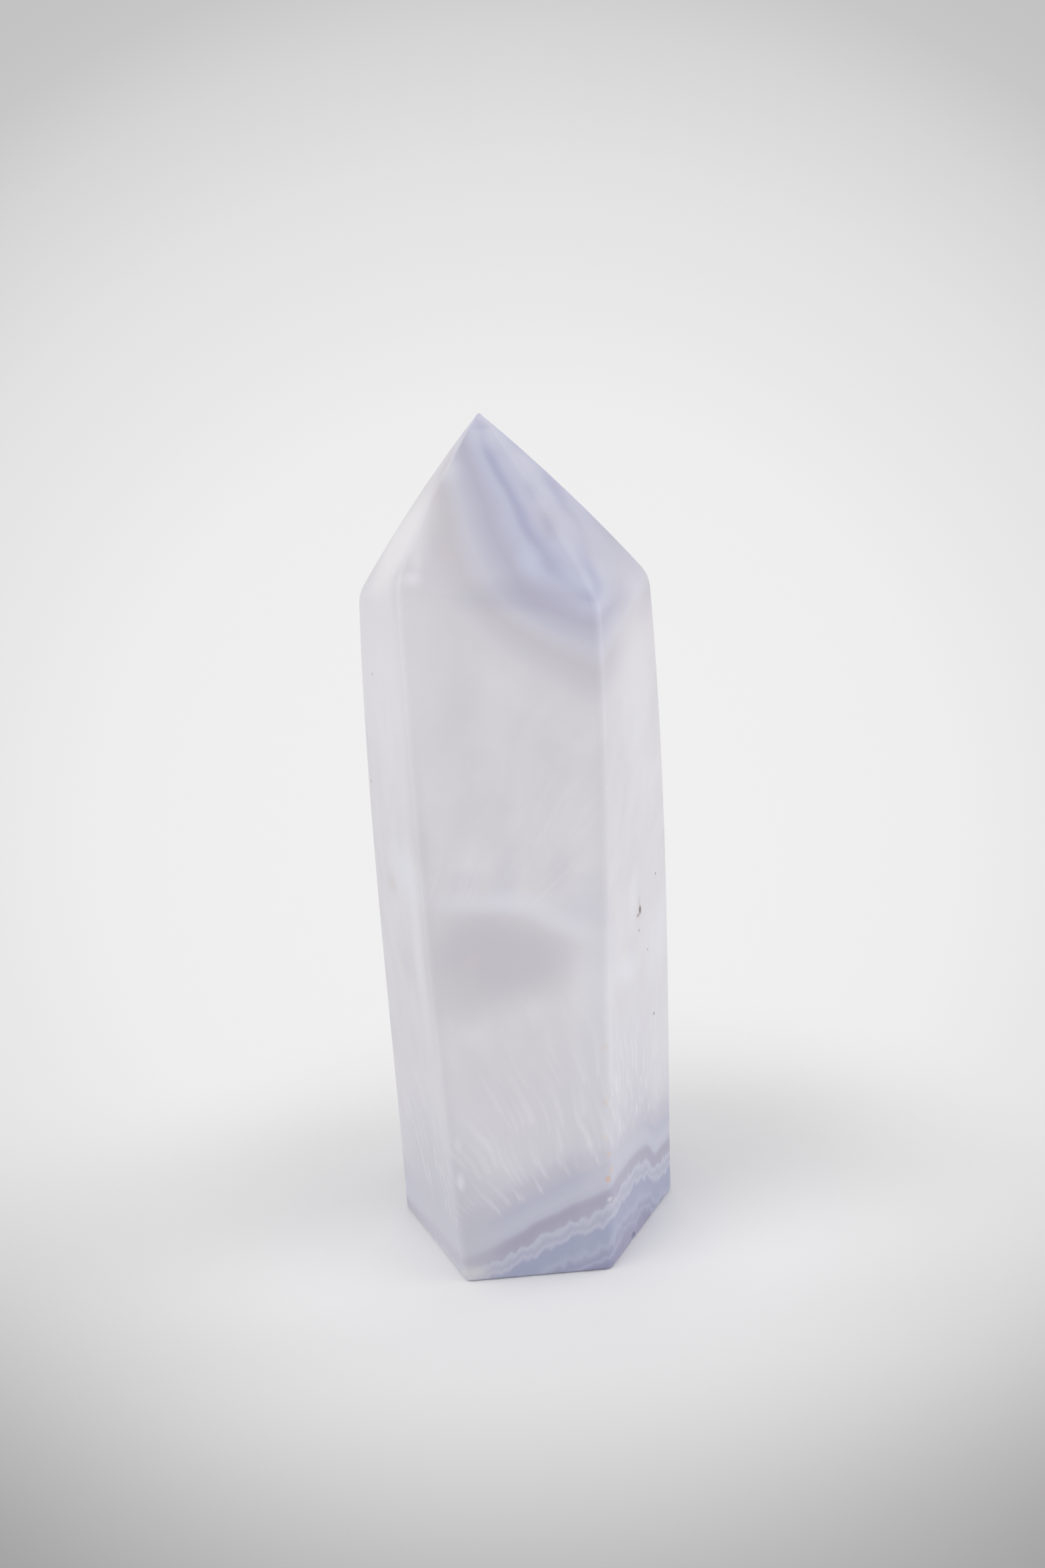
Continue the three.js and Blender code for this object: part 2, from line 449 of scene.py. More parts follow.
def add_fibres(tree, rays, depth, across, starts, scatter, length, strength):
    """Fine fibres along rays, twice as deep as they are wide. Each begins bright at its lower end, from
    starts to starts + scatter mm over the dark band, and fades on its way up."""
    drawn = add_node(tree, "VectorMath", {0: rays, 1: (across, across / 2, 0)}, operation="MULTIPLY")
    cells = add_node(tree, "TexVoronoi", {"Vector": drawn, "Scale": 1}, voronoi_dimensions="2D")
    distance = cells.outputs["Distance"]
    core = add_node(tree, "MapRange", {0: distance, 1: FIBRE_WIDTH, 2: 0}, interpolation_type="SMOOTHSTEP")
    chance = add_node(tree, "SeparateColor", {0: cells.outputs["Color"]})
    above = add_node(tree, "Math", {0: chance.outputs[0], 1: -scatter, 2: depth}, operation="MULTIPLY_ADD")
    full = starts + FIBRE_HEAD
    head = add_node(tree, "MapRange", {0: above, 1: starts, 2: full}, interpolation_type="SMOOTHSTEP")
    tail = add_node(tree, "MapRange", {0: above, 1: starts + length, 2: full})
    least = FAINTEST_FIBRE * strength
    brightness = {0: chance.outputs[1], 1: strength - least, 2: least}
    bright = add_node(tree, "Math", brightness, operation="MULTIPLY_ADD")
    streak = add_node(tree, "Math", {0: head, 1: tail}, operation="MULTIPLY")
    streak = add_node(tree, "Math", {0: streak, 1: bright}, operation="MULTIPLY")
    return add_node(tree, "Math", {0: streak, 1: core}, operation="MULTIPLY")


# The body's tones, from its darker mottles to its paler ones
BODY = [(0.32, "#D8D5DA", 1), (0.5, "#DDDBDF", 1), (0.68, "#E2E0E4", 1)]

# The body is mottled, and drawn out in faint streaks that fan out from one root in its lower half and
# from another in its upper half, and sway: mm from mottle to mottle and from sway to sway, how far they
# sway, how many streaks fit in a radian and how long they are, and between which heights the fans change
MOTTLE_WIDTH = 6.25
SWAY_WIDTH = 20 / 3
SWAY = (2.4, 2.4, 0)
FRONT_ROOT = (12, -9.5, -22)
UPPER_ROOT = (-12, -9, 5)
LOWER_STREAKS = (19, 9)
UPPER_STREAKS = (12, 9)
STREAK_HEIGHTS = (28, 38)

# The lower bands hang under a rounded hill: the height of the dark band's upper side over the base
LACE_FOOT = 1.1
LACE_HILL = 7.3
LACE_HILL_PLACE = (7.5, -9.5)
LACE_HILL_REACH = 8.7

# On the right face that side rises to a fold and drops behind it: how far along FOLD_WAY each slope
# starts and ends, and by how much it rises there
FOLD_WAY = (0.44, 0.9, 0)
FOLD = [(-4.0, 0.3, 0.6), (0.3, 2.3, -0.9), (2.3, 6.3, 1.8), (6.3, 12.0, 0.3)]

# The bands are crimped where they are lace, and rippled all over: mm from swing to swing, how fast they
# come upwards against how fast they do sideways, and how far they reach. Then the depths where the
# crimps begin, are full, wane and end
CRIMP = dict(width=1.0, upright=0.35, height=0.45)
RIPPLE = dict(width=2.2, upright=0.5, height=0.18)
CRIMP_DEPTHS = (-9, -7, -1.2, -0.2)

# Depths in mm over and under that side, the tone that stands there and how much it hides
LACE = [
    (20.0, "#D8D7DE", 0.0),
    (12.0, "#D8D7DE", 0.45),
    (7.0, "#D3D2D9", 0.85),
    (5.2, "#CDCCD5", 0.95),
    (4.0, "#C3C2CD", 1.0),
    (3.0, "#BEBDCB", 1.0),
    (2.4, "#B9BACB", 1.0),
    (1.8, "#BCBECD", 1.0),
    (1.0, "#C0C2D0", 1.0),
    (0.3, "#BDBECD", 1.0),
    (-0.15, "#ACA9BC", 1.0),
    (-0.5, "#A7A4B7", 1.0),
    (-1.3, "#ABA9BB", 1.0),
    (-1.45, "#B0B0C2", 1.0),
    (-1.64, "#BEC0CF", 1.0),
    (-1.9, "#BBBDCD", 1.0),
    (-2.15, "#B3B5C7", 1.0),
    (-2.45, "#AFB1C4", 1.0),
    (-2.66, "#B6B8CA", 1.0),
    (-2.86, "#BCBECE", 1.0),
    (-3.1, "#AEB1C6", 1.0),
    (-3.3, "#A2A6BF", 1.0),
    (-4.5, "#A4A9C0", 1.0),
    (-5.1, "#AFB3C8", 1.0),
    (-5.6, "#A1A4BC", 1.0),
    (-6.0, "#9B9DB7", 1.0),
    (-6.35, "#ABAEC5", 1.0),
    (-6.7, "#999AB6", 1.0),
    (-7.2, "#908FAC", 1.0),
    (-9.0, "#9594AF", 1.0),
]

# The upper bands are layers that lean out to the right, over the crown, and bow down to both sides.
# In the middle of the crown they buckle: the heights where that begins, is full, wanes and ends
SLANT = (0.59, -0.48, 0.66)
BOW_WAY = (-0.95, 0.31, 0)
BOW_FROM = -4.27
BOW = -0.023
BUCKLE = -0.32
BUCKLE_HEIGHTS = (62, 70, 71, 78)
SLOW_WAVE = dict(width=6, upright=1, height=0.2)
VEIL = [
    (41.6, "#D9D6DD", 0.0),
    (43.6, "#D7D4DB", 0.55),
    (44.7, "#D1CED6", 0.9),
    (45.6, "#CDCAD1", 1.0),
    (46.2, "#CFCCD5", 1.0),
    (46.6, "#CFCED9", 1.0),
    (47.2, "#C7C6D5", 1.0),
    (47.95, "#BEBCCD", 1.0),
    (48.4, "#C1C1D4", 1.0),
    (48.75, "#C5C7DA", 1.0),
    (49.0, "#C3C5D9", 1.0),
    (49.18, "#B9BAD2", 1.0),
    (49.36, "#B3B5CF", 1.0),
    (49.54, "#BBBDD5", 1.0),
    (49.8, "#C6C7DB", 1.0),
    (50.2, "#CACCDE", 1.0),
    (51.4, "#CBCCDD", 1.0),
    (53.0, "#CDCDE0", 1.0),
]

# Soft clouds in the body, behind the face that shows them, and some painted shade and light: mm along its
# foot, height, half width, half height, lean in degrees, softness, tone and strength. They are CLOUD_DEPTH
# deep
CLOUD_DEPTH = 3
CLOUDS_AND_PAINTED_LIGHT = {
    FRONT: [
        # The wide dark cloud across the middle
        (3.6, 30.6, 4.2, 4.8, 6, 0.7, "#C8C5CC", 0.8),
        (6.8, 30.2, 5.6, 3.0, 4, 0.7, "#C9C6CD", 0.85),
        (1.8, 27.4, 1.8, 2.2, 0, 0.8, "#D0CCD1", 0.6),
        (3.1, 30.4, 0.6, 0.6, 0, 0.8, "#D2C6CE", 0.5),
        # Fainter ones over it
        (3.1, 37.5, 1.7, 0.8, 0, 0.8, "#D8D5DD", 0.7),
        (6.6, 37.2, 0.9, 2.3, 8, 0.9, "#D6D3DC", 0.8),
        (11.3, 37.6, 0.8, 1.3, 10, 0.9, "#D8D5DE", 0.7),
        (13.4, 36.7, 1.0, 0.6, 0, 0.9, "#D8D6DF", 0.6),
        (13.4, 33.6, 1.5, 0.8, 20, 0.9, "#D8D6DF", 0.6),
        # Pale streaks between them
        (5.5, 35.4, 5.0, 0.8, 4, 0.9, "#E1E1EA", 0.6),
        (11.5, 33.0, 4.0, 0.9, 28, 0.9, "#E3E3EB", 0.6),
        # The rest of the face
        (13.2, 22.0, 1.6, 9.0, 3, 0.9, "#E6E5EA", 0.5),
        (1.8, 53.0, 2.8, 10.0, 0, 0.9, "#D4D2D7", 0.3),
        (7.0, 18.0, 5.0, 5.0, 0, 0.9, "#D1CFD5", 0.5),
        # Painted shade in a thin strip down the edge between the front and the left face, which dulls the
        # highlight that its rounding catches
        (-0.3, 33.0, 0.6, 32.0, 0, 0.9, "#CBC9CE", 0.35),
    ],
    RIGHT: [
        # Pale veils round the pit
        (0.6, 28.9, 2.0, 2.6, 0, 0.8, "#E6E6ED", 0.25),
        (3.0, 29.2, 1.6, 2.6, 0, 0.9, "#E6E6ED", 0.2),
        (5.2, 26.9, 2.2, 1.2, 15, 0.9, "#E9E9F0", 0.6),
        (14.2, 28.0, 3.0, 3.2, 0, 0.9, "#E8E8F0", 0.5),
        (7.2, 33.0, 1.0, 2.0, 10, 0.9, "#EAEAF1", 0.5),
        # Darker ones between them
        (6.6, 28.2, 1.2, 1.2, 0, 0.9, "#D9D8E1", 0.5),
        (0.2, 34.4, 1.6, 1.6, 0, 0.9, "#D7D5DF", 0.6),
        (13.0, 19.0, 4.0, 5.0, 0, 0.9, "#DAD9DE", 0.5),
        # The rest of the face
        # These three, paler near the top and darker low down: partly the stone's own tone, partly painted
        # light higher up and painted shade low down, where less light comes up from the floor
        (9.5, 53.0, 4.5, 10.0, 0, 0.7, "#EAE9ED", 0.6),
        (4.0, 17.0, 5.0, 7.0, 0, 0.9, "#D2D1D9", 0.55),
        (6.0, 13.5, 5.0, 3.0, 0, 0.9, "#CAC9D2", 0.5),
        (1.5, 14.5, 1.2, 4.5, 0, 0.9, "#CFCED6", 0.35),
        (2.0, 31.0, 1.2, 3.0, 0, 0.9, "#D3D1DA", 0.4),
        (5.0, 0.5, 3.5, 2.5, 0, 0.9, "#ACACC5", 0.4),
        # Painted shade in a thin strip down the edge between the front and the right face, which dulls the
        # highlight that its rounding catches
        (0.8, 36.0, 0.5, 28.0, 3, 0.9, "#CFCED6", 0.3),
    ],
    LEFT: [
        # The middle
        (11.8, 37.5, 3.4, 2.2, 0, 0.9, "#E5E6EF", 0.7),
        (6.6, 35.2, 1.5, 1.0, 0, 0.9, "#D5D1D4", 0.7),
        (9.3, 28.4, 1.7, 1.6, 0, 0.9, "#D5D2DA", 0.7),
        (13.6, 31.0, 1.3, 7.0, 0, 0.9, "#E6E5EC", 0.5),
        # The foot, darker, and the top, paler: partly the stone's own tone, partly painted shade low down,
        # where less light comes up from the floor, and painted light higher up
        (8.0, 10.0, 10.0, 15.0, 0, 0.8, "#D0CED5", 0.6),
        (12.0, 7.0, 8.0, 6.0, 0, 0.9, "#BEBEC8", 0.75),
        (8.0, 54.0, 10.0, 8.0, 0, 0.8, "#ECEAEE", 0.5),
    ],
}

# Small spots, among them painted light and painted shade: where, half size in mm, softness, tone and
# strength
SPOTS_AND_PAINTED_LIGHT = [
    # Pale and blue clouds in the crown
    ((0.5, -1.2, 74.4), (1.5, 1.8, 1.8), 0.8, "#D8DAE7", 0.55),
    ((0.1, 0.1, 75.7), (0.6, 0.6, 0.5), 0.8, "#D8DAE9", 0.7),
    ((0.1, -0.9, 74.8), (0.7, 0.5, 0.2), 0.9, "#B9BCD3", 0.45),
    ((3.6, -1.2, 71.5), (1.5, 2.5, 1.2), 0.9, "#D0D0DE", 0.5),
    ((5.3, -7.0, 66.8), (1.3, 2.6, 2.0), 0.9, "#C5C1D2", 0.5),
    ((8.2, -3.6, 65.0), (3.0, 3.0, 4.0), 0.8, "#C3C3D3", 0.5),
    ((5.2, -3.6, 69.2), (1.3, 1.6, 1.3), 0.8, "#CDCEDE", 0.5),
    ((6.9, -5.4, 66.0), (1.2, 1.6, 1.6), 0.8, "#CACBDB", 0.4),
    ((3.2, -10.6, 63.5), (0.9, 1.2, 1.3), 0.9, "#CACFE2", 0.6),
    ((5.0, -12.6, 60.5), (2.4, 1.2, 1.0), 0.9, "#B9B6CA", 0.6),
    ((7.7, -11.3, 61.5), (1.1, 1.2, 1.3), 0.9, "#CBCFE0", 0.45),
    ((6.5, -11.5, 61.8), (1.4, 1.2, 1.3), 0.9, "#C9CDDF", 0.45),
    ((9.4, -4.8, 63.2), (2.4, 2.8, 1.6), 0.9, "#C1C0D0", 0.4),
    ((4.4, -0.8, 71.0), (1.4, 1.8, 1.3), 0.9, "#D5D6E4", 0.4),
    ((-8.2, -8.5, 63.9), (1.3, 1.3, 1.0), 0.9, "#DFDDE1", 0.4),
    ((-4.5, -9.5, 66.4), (0.7, 1.6, 1.8), 0.9, "#C9C6CC", 0.4),
    ((-6.3, -11.5, 63.3), (1.6, 1.6, 1.3), 0.9, "#D2D0D6", 0.4),
    ((7.2, -10.8, 62.6), (0.5, 0.8, 1.0), 0.9, "#BBBED1", 0.3),
    ((-3.8, -8.6, 67.4), (1.1, 2.0, 2.2), 0.9, "#CBC8CD", 0.5),
    ((-4.1, -6.8, 69.3), (0.7, 0.8, 0.5), 0.9, "#CBC3CA", 0.4),
    ((-3.7, -10.8, 64.8), (0.8, 0.8, 0.5), 0.9, "#CFC8CC", 0.4),
    # Paler over the left facet of the crown: partly the stone's paler body, partly painted light where that
    # facet faces the light
    ((-8.6, -5.2, 66.8), (4.0, 6.0, 5.2), 0.5, "#F4F2F4", 0.8),
    # The worn shoulder on the left, and what lies close to the ridges and shoulders
    ((-6.5, -12.5, 63.1), (0.6, 0.7, 0.5), 1, "#F1F0F6", 0.5),
    ((-6.1, -11.5, 64.5), (0.4, 0.8, 1.2), 1, "#EAE9EE", 0.45),
    ((-3.0, -4.7, 71.5), (0.8, 1.2, 1.2), 1, "#E6E6EE", 0.4),
    ((1.4, -12.6, 61.2), (3.0, 2.0, 1.1), 0.9, "#ACAABB", 0.3),
    ((10.7, -7.2, 59.6), (1.8, 3.0, 1.7), 0.9, "#B6B4C4", 0.33),
    # Painted shade along the ridge between the front and the right facets of the crown, which dulls the
    # highlight that its rounding catches
    ((4.0, -5.2, 69.2), (0.6, 1.1, 1.3), 0.9, "#A8A9C0", 0.3),
    ((5.2, -7.9, 66.2), (0.6, 1.3, 1.4), 0.9, "#A8A9C0", 0.32),
    # Places that wear has roughened, low on the two front edges and at their foot
    ((-7.5, -13.3, 10.1), (0.3, 0.4, 0.7), 0.9, "#EAE9EF", 0.5),
    ((-7.4, -13.2, 13.6), (0.25, 0.4, 0.7), 0.9, "#E6E5EB", 0.35),
    ((-7.3, -12.9, 0.9), (1.1, 0.8, 0.6), 0.8, "#D3D1D2", 0.7),
    ((5.6, -12.7, 6.8), (0.26, 0.3, 0.2), 0.9, "#E2E2EA", 0.6),
    # Rust in the edge between the front and the right face
    ((5.55, -12.8, 8.8), (0.22, 0.4, 0.3), 0.7, "#D9AE92", 0.75),
    ((5.9, -12.5, 9.6), (0.26, 0.3, 0.4), 0.9, "#DBC0AA", 0.35),
    ((5.8, -12.7, 11.2), (0.18, 0.3, 0.2), 0.8, "#D9BDA4", 0.5),
    ((5.6, -12.9, 12.8), (0.3, 0.4, 0.3), 0.9, "#DACDC0", 0.4),
    ((5.9, -12.9, 16.2), (0.26, 0.4, 0.36), 0.9, "#D8C8B6", 0.42),
    ((6.2, -13.0, 21.4), (0.3, 0.4, 0.3), 0.9, "#DAD0C2", 0.4),
    # The pit, its stain and its shadow
    ((10.5, -5.75, 31.3), (0.25, 0.3, 0.4), 0.5, "#62443A", 0.9),
    ((10.25, -6.2, 30.92), (0.3, 0.35, 0.16), 0.7, "#9A8276", 0.75),
    ((10.5, -5.8, 32.1), (0.13, 0.3, 0.5), 0.9, "#B4B0B9", 0.5),
    # Dark specks
    ((12.49, -1.87, 33.42), (0.13, 0.15, 0.13), 0.5, "#6F6A74", 0.8),
    ((10.28, -6.0, 29.43), (0.13, 0.15, 0.14), 0.5, "#6F6A74", 0.8),
    ((11.1, -4.03, 26.9), (0.1, 0.2, 0.12), 0.6, "#8B8690", 0.7),
    ((11.39, -2.66, 20.08), (0.14, 0.25, 0.12), 0.6, "#77727A", 0.8),
    ((-11.49, -2.73, 54.28), (0.13, 0.15, 0.13), 0.6, "#817C86", 0.7),
    ((-12.82, 0.23, 44.02), (0.13, 0.15, 0.13), 0.6, "#817C86", 0.7),
]

# The fibres, in five fans: the root that they spread from, the part of the stone that shows them, by
# its centre and half size in mm, and their layers. A layer is how many fit in a radian, where they begin
# over the dark band, over what height their lower ends are scattered, their length and their strength
FIBRE_FANS = [
    dict(
        root=FRONT_ROOT,
        centre=(6, -13, 8),
        reach=(15, 9, 18),
        layers=[
            (52, 2.0, 1.8, 3.4, 0.32),
            (42, 2.4, 2.8, 6.0, 0.34),
            (34, 3.4, 6.0, 9.0, 0.27),
            (48, 4.5, 9.0, 8.0, 0.26),
            (60, 7.0, 12.0, 10.0, 0.24),
        ],
    ),
    dict(
        root=(9.5, -9, -40),
        centre=(9.2, -6.5, 17),
        reach=(5, 7.5, 13),
        layers=[(200, 2.0, 6.0, 5.0, 0.55), (150, 4.0, 10.0, 8.0, 0.4)],
    ),
    dict(
        root=(-11, -11, 24),
        centre=(-2, -13, 43),
        reach=(10, 5, 9),
        layers=[(21, 27.0, 8.0, 9.0, 0.2)],
    ),
    dict(
        root=(-7, -15, -13),
        centre=(-12, -7, 10),
        reach=(4.2, 7, 60),
        layers=[(40, 2.6, 7.0, 8.0, 0.45), (30, 6.0, 12.0, 9.0, 0.3)],
    ),
    dict(
        root=(2, 12, -40),
        centre=(0, 8, 15),
        reach=(20, 9, 60),
        layers=[(44, 2.6, 5.0, 6.0, 0.4), (60, 6.0, 14.0, 9.0, 0.3)],
    ),
]

# A fibre's tone, its half width against the spacing, the mm over which its bright lower end comes up, how
# strong the faintest is against the strongest, and how softly a fan ends
FIBRE_TONE = "#F1F0F4"
FIBRE_WIDTH = 0.5
FIBRE_HEAD = 0.9
FAINTEST_FIBRE = 0.3
FAN_SOFTNESS = 0.2

# The polish: the roughness of its smoothest and its dullest patches, the noise that stands for the two and
# the patches' width, then the width, depth and strength of the grinding lines and how fast they change
# upwards against sideways, and the width, depth and strength of the waves that the wheel left in the
# faces. Widths and depths are in mm. The real lines are far finer than the ones drawn, which just show
ROUGHNESS = (0.28, 0.34)
PATCHES = (0.3, 0.7)
PATCH_WIDTH = 25 / 3
LINE_WIDTH = 0.25
LINE_DEPTH = 0.02
LINE_STRENGTH = 0.12
LINE_UPRIGHT = 0.12
WAVE_WIDTH = 5
WAVE_DEPTH = 0.1
WAVE_STRENGTH = 0.5


def body_colour(tree, place, height, rays):
    """The body, mottled in soft streaks."""
    lower = add_streaks(tree, rays[FRONT_ROOT], *LOWER_STREAKS)
    upper = add_streaks(tree, rays[UPPER_ROOT], *UPPER_STREAKS)
    halfway = add_node(tree, "MapRange", {0: height, 1: STREAK_HEIGHTS[0], 2: STREAK_HEIGHTS[1]})
    streaks = add_node(tree, "Mix", {0: halfway, 2: lower, 3: upper})
    inputs = {"Vector": place, "Scale": 1 / MOTTLE_WIDTH, "Detail": 4, "Roughness": 0.6}
    mottle = add_node(tree, "TexNoise", inputs)
    cloudy = add_node(tree, "Mix", {0: 0.5, 2: mottle, 3: streaks})
    return add_node(tree, "ValToRGB", {0: cloudy}, stops=BODY)


def lay_upper_bands(tree, under, place, height):
    """Lays the bands of the crown over the colour under."""
    slanted = add_node(tree, "VectorMath", {0: place, 1: SLANT}, operation="DOT_PRODUCT").outputs["Value"]
    aside = add_node(tree, "VectorMath", {0: place, 1: BOW_WAY}, operation="DOT_PRODUCT").outputs["Value"]
    aside = add_node(tree, "Math", {0: aside, 1: BOW_FROM}, operation="SUBTRACT")
    bowed = add_node(tree, "Math", {0: aside, 1: aside}, operation="MULTIPLY")
    slanted = add_node(tree, "Math", {0: bowed, 1: BOW, 2: slanted}, operation="MULTIPLY_ADD")
    buckled = add_window(tree, height, *BUCKLE_HEIGHTS)
    slanted = add_node(tree, "Math", {0: buckled, 1: BUCKLE, 2: slanted}, operation="MULTIPLY_ADD")
    wave = add_wave(tree, place, **SLOW_WAVE)
    waved = add_node(tree, "Math", {0: slanted, 1: wave}, operation="ADD")
    return add_bands(tree, waved, VEIL, under)


def lace_depth(tree, place, height):
    """How far a place is over the upper side of the dark band: a rounded hill, with slopes across it."""
    spread = 1 / (LACE_HILL_REACH * math.sqrt(2))
    from_top = add_node(
        tree,
        "Mapping",
        {
            "Vector": place,
            "Location": (-LACE_HILL_PLACE[0] * spread, -LACE_HILL_PLACE[1] * spread, 0),
            "Scale": (spread, spread, 0),
        },
    )
    squared = add_node(tree, "VectorMath", {0: from_top, 1: from_top}, operation="DOT_PRODUCT")
    fall = add_node(tree, "Math", {0: squared.outputs["Value"], 1: -1}, operation="MULTIPLY")
    bell = add_node(tree, "Math", {0: fall}, operation="EXPONENT")
    hill = add_node(tree, "Math", {0: bell, 1: LACE_HILL, 2: LACE_FOOT}, operation="MULTIPLY_ADD")
    along = add_node(tree, "VectorMath", {0: place, 1: FOLD_WAY}, operation="DOT_PRODUCT").outputs["Value"]
    for starts, ends, rises in FOLD:
        slope = add_node(tree, "MapRange", {0: along, 1: starts, 2: ends, 3: 0, 4: rises})
        hill = add_node(tree, "Math", {0: hill, 1: slope}, operation="ADD")
    return add_node(tree, "Math", {0: height, 1: hill}, operation="SUBTRACT")


def lay_lower_bands(tree, under, place, depth):
    """Lays the dark band and the lace under it over the colour under."""
    crimp = add_wave(tree, place, **CRIMP)
    crimped = add_window(tree, depth, *CRIMP_DEPTHS)
    crimp = add_node(tree, "Math", {0: crimp, 1: crimped}, operation="MULTIPLY")
    ripple = add_wave(tree, place, **RIPPLE)
    waved = add_node(tree, "Math", {0: crimp, 1: ripple}, operation="ADD")
    laced = add_node(tree, "Math", {0: depth, 1: waved}, operation="ADD")
    return add_bands(tree, laced, LACE, under)


def lay_clouds_and_painted_light(tree, under, place):
    """Lays the clouds of each face, and the painted shade and light among them, over the colour under."""
    for face, clouds in CLOUDS_AND_PAINTED_LIGHT.items():
        for along, up, width, tall, lean, soft, tone, strength in clouds:
            form = dict(turn=(0, math.radians(lean), face_heading(face)), soft=soft, strength=strength)
            size = (width, CLOUD_DEPTH, tall)
            under = lay_blot(tree, under, tone, place, face_place(face, along, up), size, **form)
    return under


def lay_fibres(tree, under, place, depth, rays):
    """Lays the fans of fibres over the colour under."""
    for fan in FIBRE_FANS:
        shown = add_blot(tree, place, fan["centre"], fan["reach"], soft=FAN_SOFTNESS)
        for layer in fan["layers"]:
            fibres = add_fibres(tree, rays[fan["root"]], depth, *layer)
            fibres = add_node(tree, "Math", {0: fibres, 1: shown}, operation="MULTIPLY")
            mixed = {0: fibres, 6: under, 7: linear(FIBRE_TONE)}
            under = add_node(tree, "Mix", mixed, data_type="RGBA").outputs[2]
    return under


def polish(tree, shader, place):
    """Smoother and duller by turns, over hardly wavy faces with the finest of grinding lines."""
    sheen = add_node(tree, "TexNoise", {"Vector": place, "Scale": 1 / PATCH_WIDTH, "Detail": 1})
    patches = {0: sheen, 1: PATCHES[0], 2: PATCHES[1], 3: ROUGHNESS[0], 4: ROUGHNESS[1]}
    rough = add_node(tree, "MapRange", patches)
    tree.links.new(rough.outputs[0], shader.inputs["Roughness"])
    drawn = add_node(tree, "VectorMath", {0: place, 1: (1, 1, LINE_UPRIGHT)}, operation="MULTIPLY")
    lines = add_node(tree, "TexNoise", {"Vector": drawn, "Scale": 1 / LINE_WIDTH, "Detail": 2})
    inputs = {"Height": lines, "Strength": LINE_STRENGTH, "Distance": LINE_DEPTH * MM}
    ground = add_node(tree, "Bump", inputs)
    waves = add_node(tree, "TexNoise", {"Vector": place, "Scale": 1 / WAVE_WIDTH, "Detail": 1})
    inputs = {"Height": waves, "Normal": ground, "Strength": WAVE_STRENGTH, "Distance": WAVE_DEPTH * MM}
    wavy = add_node(tree, "Bump", inputs)
    tree.links.new(wavy.outputs[0], shader.inputs["Normal"])


def agate():
    """Blue lace agate, ground flat and polished: pale and waxy, for light soaks into it before it turns
    back, with bands of grey blue and white lace where the stone grew in layers."""
    material = bpy.data.materials.new("polished_blue_lace_agate")
    material.use_nodes = True
    tree = material.node_tree
    shader = tree.nodes["Principled BSDF"]
    metres = add_node(tree, "TexCoord").outputs["Object"]
    place = add_node(tree, "VectorMath", {0: metres, "Scale": 1 / MM}, operation="SCALE")
    height = add_node(tree, "SeparateXYZ", {0: place}).outputs["Z"]
    inputs = {"Vector": place, "Scale": 1 / SWAY_WIDTH, "Detail": 1}
    sway = add_node(tree, "TexNoise", inputs).outputs["Color"]
    swayed = add_node(tree, "VectorMath", {0: sway, 1: SWAY, 2: place}, operation="MULTIPLY_ADD")
    roots = [UPPER_ROOT, *[fan["root"] for fan in FIBRE_FANS]]
    rays = {root: add_rays(tree, swayed, root) for root in roots}
    depth = lace_depth(tree, place, height)

    colour = body_colour(tree, place, height, rays)
    colour = lay_upper_bands(tree, colour, place, height)
    colour = lay_lower_bands(tree, colour, place, depth)
    colour = lay_clouds_and_painted_light(tree, colour, place)
    colour = lay_fibres(tree, colour, place, depth, rays)
    for centre, size, soft, tone, strength in SPOTS_AND_PAINTED_LIGHT:
        colour = lay_blot(tree, colour, tone, place, centre, size, soft=soft, strength=strength)
    tree.links.new(colour, shader.inputs["Base Color"])

    polish(tree, shader, place)
    shader.inputs["IOR"].default_value = 1.54
    shader.inputs["Subsurface Weight"].default_value = 0.05
    shader.inputs["Subsurface Radius"].default_value = (1.0, 1.0, 1.0)
    shader.inputs["Subsurface Scale"].default_value = 1 * MM
    return material


stone = build_stone()
stone.data.materials.append(agate())
bpy.ops.object.shade_smooth_by_angle(angle=math.radians(SMOOTH_UNDER))
finish_with("WEIGHTED_NORMAL", keep_sharp=True)
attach(stone, "root")
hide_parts(NODE)

# The camera: a 35 mm lens on a full-frame body held upright, tipped down and a little askew
LENS = 35
SENSOR = 36
CAMERA_PLACE = (1.0, -137.5, 72.5)
CAMERA_TIP = 12.3
CAMERA_ROLL = 5.0

bpy.ops.object.camera_add()
camera = bpy.context.object
camera.data.lens = LENS
camera.data.sensor_width = SENSOR
camera.data.clip_start = 1 * MM
camera.data.clip_end = 10
camera.matrix_world = (
    Matrix.Translation(Vector(CAMERA_PLACE) * MM)
    @ Matrix.Rotation(math.radians(90 - CAMERA_TIP), 4, "X")
    @ Matrix.Rotation(math.radians(-CAMERA_ROLL), 4, "Z")
)
bpy.context.scene.camera = camera

# The stage: a round of matt paper under the stone, which fades into the studio's own light
FLOOR_RADIUS = 100 * MM
FLOOR_SIDES = 96
FLOOR_DROP = 0.03 * MM
FADE_STARTS = 22 * MM
FADE_ENDS = 60 * MM

# The paper's tone holds painted light and a painted shadow: paler in front of the stone and darker behind
# it, where its shadow falls. Where, half size in mm and tone
PAINTED_LIGHT_AND_SHADOW = [
    ((0, -9, 0), (40, 8, 5), "#FDFCFC"),
    ((0, 17, 0), (50, 9, 5), "#EEEDED"),
]
PAINTED_LIGHT_SOFTNESS = 0.9


